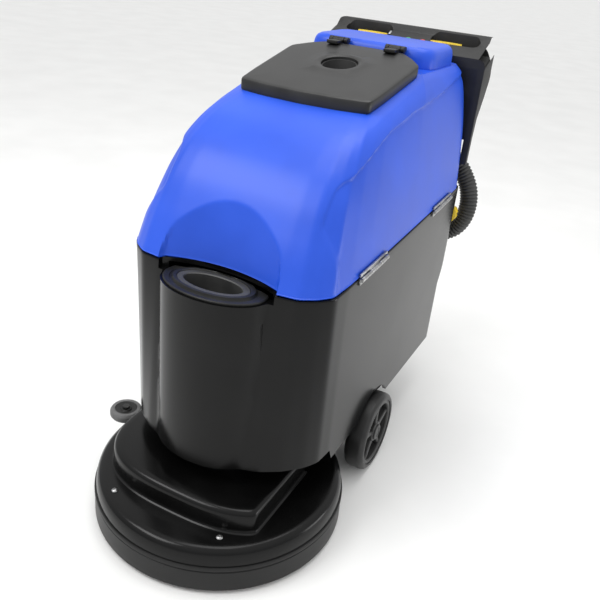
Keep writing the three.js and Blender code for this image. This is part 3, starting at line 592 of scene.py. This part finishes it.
def tank_rings(inset, level_count, step, detail=True):
    stations = softened(dense(mirrored(TANK_STATIONS), step), 4 if detail else 1)
    sx, sy, tx, ty, front = stations.T
    side = through(SIDE_CURVE, level_count)
    fore = through(FRONT_CURVE, level_count)
    rings = []
    for level in range(level_count):
        inward = side[level][0] + (fore[level][0] - side[level][0]) * front
        upward = side[level][1] + (fore[level][1] - side[level][1]) * front
        x = (sx + (tx - sx) * inward) * (1 - inset / BODY_HALF)
        y = sy + (ty - sy) * inward + inset * (sy < 0) - inset * (sy > 700)
        foot = seam_z(sy) + 1 + inset
        z = foot + (shoulder_z(ty) - inset - foot) * upward
        if detail:
            x = x - np.sign(x) * flank_depth(y, z) * smooth_step((np.abs(x) - 170) / 15)
        face = ARCH_Y - ARCH_BOW * x * x + ARCH_LEAN * (z - SEAM_Z) + inset
        depth = arch_depth(x, z - inset) * (sy < 100)
        y = np.where(face > y, y + (face - y) * depth, y)
        rings.append(np.column_stack([x, y, z]))
    return rings


def closing_rings(ring, inset, count):
    """Carries the last ring in over the tank's top to its middle."""
    middle = np.array([0, 480, 0])
    rings = []
    for k in range(1, count + 1):
        share = 1 - k / (count + 1)
        plan = middle + (ring - middle) * share
        plan[:, 2] = shoulder_z(plan[:, 1]) - inset
        rings.append(plan)
    return rings


def hump_rings(levels):
    """Rings of the hump from [half width, front, rear, height] levels."""
    return [raised(oval(x, (y1 - y0) / 2, 0, (y0 + y1) / 2, 160, 7), z) for x, y0, y1, z in levels]


def recovery_tank():
    rings = tank_rings(0, 84, 4)
    foot = rings[0].copy()
    toward = np.array([0, 380, 0]) - foot
    toward[:, 2] = 0
    foot += toward / np.linalg.norm(toward, axis=1, keepdims=True) * 3
    rings[0][:, 2] += 3
    tank = lofted("recovery_tank_shell", [foot] + rings + closing_rings(rings[-1], 0, 14))
    front = HUMP_FRONT
    rear = HUMP_REAR
    hump = lofted("hump", hump_rings([(160, front, rear, HUMP_TOP - 75), (160, front, rear, HUMP_TOP - 25),
                                      (159, front + 1, rear - 0.5, HUMP_TOP - 18),
                                      (157, front + 3, rear - 2, HUMP_TOP - 11),
                                      (153, front + 6, rear - 5, HUMP_TOP - 5),
                                      (146, front + 11, rear - 8, HUMP_TOP - 1),
                                      (132, front + 25, rear - 22, HUMP_TOP)]))
    boolean(tank, [hump], "UNION")
    room = tank_rings(WALL, 24, 10, detail=False)
    cutters = [lofted("room", room + closing_rings(room[-1], WALL, 3))]
    hump_room = [(146, front + 18, rear - 14, HUMP_TOP - 80), (142, front + 20, rear - 16, HUMP_TOP - 10)]
    cutters.append(lofted("hump_room", hump_rings(hump_room)))
    cutters.append(rounded_box("mouth", -112, 112, 268, 484, 860, 1000, 14, 1))
    outlet = [[0, -50], [21, -50], [21, 50], [0, 50]]
    cutters.append(turned("outlet", outlet, 48, axis="y", at=(OUTLET_X, TANK_REAR, OUTLET_Z)))
    boolean(tank, cutters)
    shade(tank.data, 30)
    placed(tank, "recovery", "blue_plastic", "recovery_tank")


# ---- lid -------------------------------------------------------------------------------------

def on_slope(rows):
    """Lifts points given above the lid's plane into place."""
    out = np.array(rows, float)
    out[:, 2] += LID_TOP + LID_SLOPE * (out[:, 1] - LID_FRONT)
    return out


def lid():
    """The cover as one ring of sections, from the round hole of its cup out to the edge and back."""
    outline = softened(dense(mirrored(LID_OUTLINE), 4), 6)[:, :2]
    centre = np.array([0, CUP_Y])
    angles = [math.atan2(*(p - centre)[::-1]) for p in outline]
    hole = np.array([centre + CUP_R * np.array([math.cos(a), math.sin(a)]) for a in angles])

    def level(share, z):
        plan = hole + (outline - hole) * share
        return raised(plan, z)

    def skirt(share, z):
        ring = level(share, z)
        front = smooth_step((260 - ring[:, 1]) / 30)
        ring[:, 2] -= front * 7 * (1 - (ring[:, 0] / 152) ** 2).clip(0, 1)
        return ring

    rings = [skirt(0.955, 0.5 - LID_THICK), skirt(0.993, -LID_THICK), skirt(1.0, 3 - LID_THICK)]
    outside_in = [(1.0, -12), (1.0, -5), (0.992, -1.8), (0.972, -0.3), (0.93, 0.2), (0.6, 1.6), (0.35, 1.8),
                  (0.16, 2.2), (0.13, 4.2), (0.08, 4.8), (0.03, 4.2), (0.0, 2.0), (0.0, -5.5), (0.16, -5.8),
                  (0.93, -6)]
    rings += [level(share, z) for share, z in outside_in]
    cover = lofted("lid_shell", [on_slope(r) for r in rings], closed=True)
    placed(cover, "lid", "lid_plastic", "lid")
    hinge_z = LID_TOP + LID_SLOPE * (HINGE_Y - LID_FRONT) + 2
    tube = [[3.4, -14], [7.4, -14], [8, -13.4], [8, 13.4], [7.4, 14], [3.4, 14]]
    for side_name, x in (("left", HINGE_X), ("right", -HINGE_X)):
        barrel = turned(f"lid_knuckle_{side_name}", tube, 48, axis="x", at=(x, HINGE_Y, hinge_z))
        placed(barrel, "lid", "black_plastic")
        leaf = rounded_box(f"lid_leaf_{side_name}", x - 14, x + 14, HINGE_Y - 42, HINGE_Y - 6, hinge_z - 6,
                           hinge_z + 2, 3, 1.5)
        placed(leaf, "lid", "black_plastic")


# ---- brush deck ------------------------------------------------------------------------------

CROWN_RIGHT_CUT = 178
CROWN_HALF = 232
CROWN_FRONT = 193
CROWN_REAR = 75


def crown_ring(inset, z):
    """The crown's outline: deep in front, shallow behind, and cut straight on the side towards +X."""
    count = 192
    front = oval(CROWN_HALF - inset, CROWN_FRONT - inset, 0, 0, count, 2.8)
    rear = oval(CROWN_HALF - inset, CROWN_REAR - inset, 0, 0, count, 4)
    plan = np.where(np.arange(count)[:, None] < count // 2, rear, front)
    plan[:, 0] = np.minimum(plan[:, 0], CROWN_RIGHT_CUT - inset)
    return raised(softened(plan, 4), z)


def deck():
    outer = [[0, 69.5], [274, 69.5], [276, 71], [275.5, 80], [274, 90], [271.5, 98], [267.5, 103.5],
             [261, 107], [252, TIER_TOP], [0, TIER_TOP]]
    cover = turned("deck_cover_shell", outer, 192)
    flank = [(-7, 104), (-5, TIER_TOP + 0.3), (-2.2, 110), (-0.6, 113), (0, 118), (0.6, 144), (1.6, 150),
             (4, 154.5), (8, 157.6), (13, 159.3), (20, CROWN_TOP)]
    crown = lofted("crown", [crown_ring(inset, z) for inset, z in flank])
    boolean(cover, [crown], "UNION")
    inner = turned("inner", [[0, 60], [270, 60], [267, 94], [258, 103], [0, 103]], 96)
    room = lofted("room", [crown_ring(i, z) for i, z in ((6, 90), (6, 145), (14, CROWN_TOP - 6))])
    hole = turned("hole", [[0, 140], [64, 140], [64, 170], [0, 170]], 64)
    boolean(cover, [inner, room, hole])
    shade(cover.data, 30)
    placed(cover, "deck", "black_gloss", "deck_cover")
    skirt = [[272, 8], [278, 8], [279.6, 9.5], [DECK_R, 12], [279.4, 30], [279, 50], [278.6, 55],
             [276.6, 56.5], [276.6, 58.5], [278.6, 60], [DECK_R, 61], [DECK_R, 66], [279, 68.5],
             [276.5, SKIRT_TOP], [272, SKIRT_TOP]]
    ring = turned("skirt_ring", skirt, 192)
    placed(ring, "deck", "skirt_rubber", "splash_skirt")
    top = TIER_TOP + 0.4
    head = [[0, top], [7, top], [7, top + 1], [5.6, top + 2.6], [3.2, top + 3.4], [2.6, top + 1.6],
            [0, top + 1.4]]
    for name, x, y in (("right", -131, -209), ("left", 125, -200)):
        screw = turned(f"cover_screw_{name}", head, 32, at=(x, y, 0))
        placed(screw, "deck", "zinc", f"deck_screw_{name}")


# ---- wheels ----------------------------------------------------------------------------------

def wheel(side_name, s):
    half = TYRE_W / 2
    at = (s * (WHEEL_OUT - half), WHEEL_Y, WHEEL_R)
    body = f"wheel_{side_name}"
    shoulder = [[84, 1], [86, 0], [91, 0], [94.5, 2], [97.5, 5], [99.3, 9], [WHEEL_R, 12]]
    tread = [[radius, step - half] for radius, step in shoulder]
    tread += [[radius, half - step] for radius, step in reversed(shoulder)]
    tyre = turned(f"tyre_ring_{side_name}", tread, 128, axis="x", at=at)
    placed(tyre, body, "tyre", f"tyre_{side_name}")
    flange = [[74, -half + 5], [76, -half + 3], [83.6, -half + 3], [83.6, half - 3], [79, half - 2],
              [76, half - 3], [74, half - 6]]
    rim = turned(f"hub_rim_{side_name}", flange, 128, axis="x", at=at)
    placed(rim, body, "hub_plastic", f"wheel_hub_{side_name}")
    web = [[24, -5], [74.5, -5], [74.5, 5], [24, 5]]
    disc = turned(f"hub_disc_{side_name}", web, 96, axis="x", at=at)
    placed(disc, body, "hub_plastic")
    sleeve = [[10.4, -half + 3], [24, -half + 3], [26, -half + 5], [26, half - 7], [24, half - 5],
              [10.4, half - 5]]
    boss = turned(f"hub_boss_{side_name}", sleeve, 64, axis="x", at=at)
    placed(boss, body, "hub_plastic")
    outer = half - 1
    cap = [[0, outer - 4], [20, outer - 4], [20, outer - 1.4], [18.6, outer], [13, outer + 0.4],
           [12, outer - 0.8], [0, outer - 0.6]]
    cap_piece = turned(f"hub_cap_{side_name}", cap, 64, axis="x", at=(0, 0, 0))
    if s < 0:
        cap_piece.data.transform(Matrix.Scale(-1, 4, (1, 0, 0)))
        outward(cap_piece.data)
    cap_piece.data.transform(Matrix.Translation(Vector(at) * MM))
    placed(cap_piece, body, "hub_plastic")
    for i in range(5):
        spoke = rounded_box(f"hub_spoke_{side_name}_{i + 1}", -half + 7, half - 7, -6, 6, 22, 75.5, 4, 1.5)
        turn = Matrix.Rotation(2 * math.pi * i / 5, 4, "X")
        spoke.data.transform(Matrix.Translation(Vector(at) * MM) @ turn)
        placed(spoke, body, "hub_plastic")


# ---- console ---------------------------------------------------------------------------------

def cheek_rounding(s):
    """Cutter that rounds the console's top over into a cheek, beside the line of its top."""
    line = [(CONSOLE_REAR + 2, CONSOLE_TOP - 10), (CONSOLE_REAR - 8, CONSOLE_TOP),
            (CONSOLE_REAR - 24, CONSOLE_TOP), (CONSOLE_REAR - 35, CONSOLE_TOP - 14),
            (838, CONSOLE_TOP - 29), (CONSOLE_FRONT - 2, 949)]
    angles = [math.pi / 2 * i / 10 for i in range(11)]
    section = [(BODY_HALF - CONSOLE_EDGE, 60)]
    for a in angles:
        section.append((BODY_HALF - CONSOLE_EDGE * (1 - math.sin(a)), CONSOLE_EDGE * (math.cos(a) - 1)))
    section += [(BODY_HALF + 30, -CONSOLE_EDGE), (BODY_HALF + 30, 60)]
    return lofted("edge", [[(s * x, y, top + z) for x, z in section] for y, top in line])


def console():
    rim = [(CONSOLE_REAR - 8, 948), (CONSOLE_REAR, 970), (CONSOLE_REAR, CONSOLE_TOP - 8),
           (CONSOLE_REAR - 8, CONSOLE_TOP), (CONSOLE_REAR - 24, CONSOLE_TOP),
           (CONSOLE_REAR - 35, CONSOLE_TOP - 14), (838, CONSOLE_TOP - 29), (CONSOLE_FRONT, 950)]
    shell = side_slab("console_shell", [(CONSOLE_FRONT, 925), (860, 925)] + rim, -BODY_HALF, BODY_HALF)
    cheek = [(CONSOLE_FRONT, 680), (806, 680), (808, 745), (816, 800), (850, 852), (868, 888)] + rim
    parts = []
    for s in (1, -1):
        parts.append(side_slab("cheek", cheek, *sorted((s * CHEEK_INSIDE, s * (BODY_HALF - 0.02)))))
    wall_back = CONSOLE_FRONT + BACK_WALL_THICK
    parts.append(boxy("back_wall", -CHEEK_INSIDE - 1, CHEEK_INSIDE + 1, CONSOLE_FRONT + 0.02, wall_back,
                      BACK_WALL_FOOT, 930))
    boolean(shell, parts, "UNION")
    inner = BODY_HALF - CONSOLE_CORNER
    centre = CONSOLE_REAR - CONSOLE_CORNER
    cutters = []
    for s in (1, -1):
        loop = rounded_box("loop", *sorted((s * 57, s * 190)), 842, CONSOLE_REAR - 27, 900, 1100, 18, 1)
        cutters.append(loop)
    for s in (1, -1):
        square = boxy("square", *sorted((s * inner, s * 260)), centre, 960, 640, 1100)
        rounding = [[0, 600], [CONSOLE_CORNER, 600], [CONSOLE_CORNER, 1150], [0, 1150]]
        cutters.append(boolean(square, [turned("round", rounding, 96, at=(s * inner, centre, 0))]))
    cutters.append(boxy("column", -112, 112, wall_back, 846, 900, 926))
    cutters += [cheek_rounding(s) for s in (1, -1)]
    boolean(shell, cutters)
    bevelled(shell, 4)
    placed(shell, "root", "console_plastic", "console")


# ---- hose ------------------------------------------------------------------------------------

def hose():
    """A corrugated tube along the hose's route, its ribs about 9 mm apart."""
    path = through(HOSE_ROUTE, 400)
    lengths = np.concatenate([[0], np.cumsum(np.linalg.norm(np.diff(path, axis=0), axis=1))])
    total = lengths[-1]
    pitch = total / round(total / 9)
    steps = np.arange(0, total + 1e-6, pitch / 6)
    spine = np.stack([np.interp(steps, lengths, path[:, k]) for k in range(3)], 1)
    forward = np.gradient(spine, axis=0)
    forward /= np.linalg.norm(forward, axis=1, keepdims=True)
    across = np.array([1.0, 0, 0])
    rings = []
    for k, (point, ahead) in enumerate(zip(spine, forward)):
        across = across - ahead * across.dot(ahead)
        across /= np.linalg.norm(across)
        other = np.cross(ahead, across)
        wave = 0.5 + 0.5 * math.cos(2 * math.pi * steps[k] / pitch)
        radius = HOSE_R - 3.2 + 3.2 * wave ** 0.6
        a = np.linspace(0, 2 * math.pi, 40, endpoint=False)[:, None]
        rings.append(point + radius * (np.cos(a) * across + np.sin(a) * other))
    tube = lofted("corrugated_hose", rings, sharp=75)
    placed(tube, "root", "hose_rubber", "suction_hose")


# ---- CAD pieces that stay --------------------------------------------------------------------

KEPT_BEVEL = {"battery_front": 3, "battery_rear": 3, "support_column": 2, "control_panel": 0.8}


def smooth_by_angle():
    """A node group that shades smooth and keeps edges over 32 degrees sharp."""
    group = bpy.data.node_groups.new("smooth_by_angle", "GeometryNodeTree")
    group.interface.new_socket("Geometry", in_out="INPUT", socket_type="NodeSocketGeometry")
    group.interface.new_socket("Geometry", in_out="OUTPUT", socket_type="NodeSocketGeometry")
    start = group.nodes.new("NodeGroupInput")
    end = group.nodes.new("NodeGroupOutput")
    clean = group.nodes.new("GeometryNodeRemoveAttribute")
    clean.inputs["Name"].default_value = "custom_normal"
    faces = group.nodes.new("GeometryNodeSetShadeSmooth")
    faces.domain = "FACE"
    edges = group.nodes.new("GeometryNodeSetShadeSmooth")
    edges.domain = "EDGE"
    edges.inputs["Shade Smooth"].default_value = False
    angle = group.nodes.new("GeometryNodeInputMeshEdgeAngle")
    over = group.nodes.new("FunctionNodeCompare")
    over.operation = "GREATER_THAN"
    over.inputs["B"].default_value = math.radians(32)
    link = group.links.new
    link(start.outputs[0], clean.inputs["Geometry"])
    link(clean.outputs["Geometry"], faces.inputs["Geometry"])
    link(faces.outputs["Geometry"], edges.inputs["Geometry"])
    link(angle.outputs["Unsigned Angle"], over.inputs["A"])
    link(over.outputs["Result"], edges.inputs["Selection"])
    link(edges.outputs["Geometry"], end.inputs[0])
    return group


def finish_kept():
    slots = {row["node"]: row["material_slot"] for row in frame["record"]["subparts"]}
    group = smooth_by_angle()
    for node, obj in frame["nodes"].items():
        obj.data.materials.clear()
        obj.data.materials.append(MATERIALS[slots[node]])
        weld = obj.modifiers.new("weld", "WELD")
        weld.merge_threshold = 1e-5
        flat = obj.modifiers.new("flat", "DECIMATE")
        flat.decimate_type = "DISSOLVE"
        flat.angle_limit = math.radians(1)
        bevel = obj.modifiers.new("bevel", "BEVEL")
        bevel.width = KEPT_BEVEL.get(node, 0.9) * MM
        bevel.segments = 2
        bevel.limit_method = "ANGLE"
        bevel.angle_limit = math.radians(32)
        smooth = obj.modifiers.new("smooth", "NODES")
        smooth.node_group = group


# ---- camera, light and floor -----------------------------------------------------------------

# The camera's place in metres, its yaw, downward pitch and roll in degrees, and its focal length.
CAMERA_PLACE = (0.6581, -1.0948, 1.165)
CAMERA_TURN = (24.807, 26.495, 6.09)
CAMERA_LENS = 42.44
FLOOR_HALF = 9e4
FLOOR_Z = -0.5


def camera():
    data = bpy.data.cameras.new("camera")
    data.lens = CAMERA_LENS
    data.sensor_width = 36
    data.clip_end = 100
    obj = bpy.data.objects.new("camera", data)
    bpy.context.collection.objects.link(obj)
    yaw, pitch, roll = (math.radians(v) for v in CAMERA_TURN)
    ahead = Vector((-math.sin(yaw) * math.cos(pitch), math.cos(yaw) * math.cos(pitch), -math.sin(pitch)))
    level = Vector((math.cos(yaw), math.sin(yaw), 0))
    above = level.cross(ahead)
    right = level * math.cos(roll) + above * math.sin(roll)
    up = above * math.cos(roll) - level * math.sin(roll)
    matrix = Matrix((right, up, -ahead)).transposed().to_4x4()
    matrix.translation = Vector(CAMERA_PLACE)
    obj.matrix_world = matrix
    bpy.context.scene.camera = obj


def area_light(name, place, target, size, power):
    data = bpy.data.lights.new(name, "AREA")
    data.shape = "RECTANGLE"
    data.size, data.size_y = size
    data.energy = power
    obj = bpy.data.objects.new(name, data)
    bpy.context.collection.objects.link(obj)
    obj.location = place
    obj.rotation_euler = (Vector(target) - Vector(place)).to_track_quat("-Z", "Y").to_euler()


def studio():
    """A pale world and floor, and three soft lights."""
    scene = bpy.context.scene
    scene.view_settings.view_transform = "Standard"
    world = bpy.data.worlds.new("studio")
    world.use_nodes = True
    tree = world.node_tree
    sky = tree.nodes.new("ShaderNodeTexCoord")
    split = tree.nodes.new("ShaderNodeSeparateXYZ")
    ramp = tree.nodes.new("ShaderNodeValToRGB")
    ramp.color_ramp.elements[0].position = 0.02
    ramp.color_ramp.elements[0].color = (0.55, 0.56, 0.57, 1)
    ramp.color_ramp.elements[1].position = 0.75
    ramp.color_ramp.elements[1].color = (1, 1, 1, 1)
    back = tree.nodes["Background"]
    back.inputs["Strength"].default_value = 1.05
    tree.links.new(sky.outputs["Generated"], split.inputs["Vector"])
    tree.links.new(split.outputs["Z"], ramp.inputs["Fac"])
    tree.links.new(ramp.outputs["Color"], back.inputs["Color"])
    scene.world = world
    area_light("key", (-1.2, -1.3, 2.7), (0, 0.1, 0.6), (1.6, 1.0), 34)
    area_light("top", (0.0, 0.5, 3.0), (0, 0.45, 0.8), (1.4, 2.0), 30)
    area_light("right", (2.4, 1.1, 0.45), (0.2, 0.5, 0.4), (1.1, 0.7), 11)
    corners = [(x * FLOOR_HALF, y * FLOOR_HALF, FLOOR_Z) for x, y in ((-1, -1), (1, -1), (1, 1), (-1, 1))]
    floor = new_object("floor", corners, [(0, 1, 2, 3)])
    floor.data.materials.append(grained("pale_floor", (0.84, 0.84, 0.83), (0.88, 0.88, 0.87), 0.7, patch=3,
                                        grain=60, strength=0.05))


camera()
studio()
finish_kept()
solution_tank()
filler()
recovery_tank()
lid()
deck()
wheel("left", 1)
wheel("right", -1)
console()
hose()
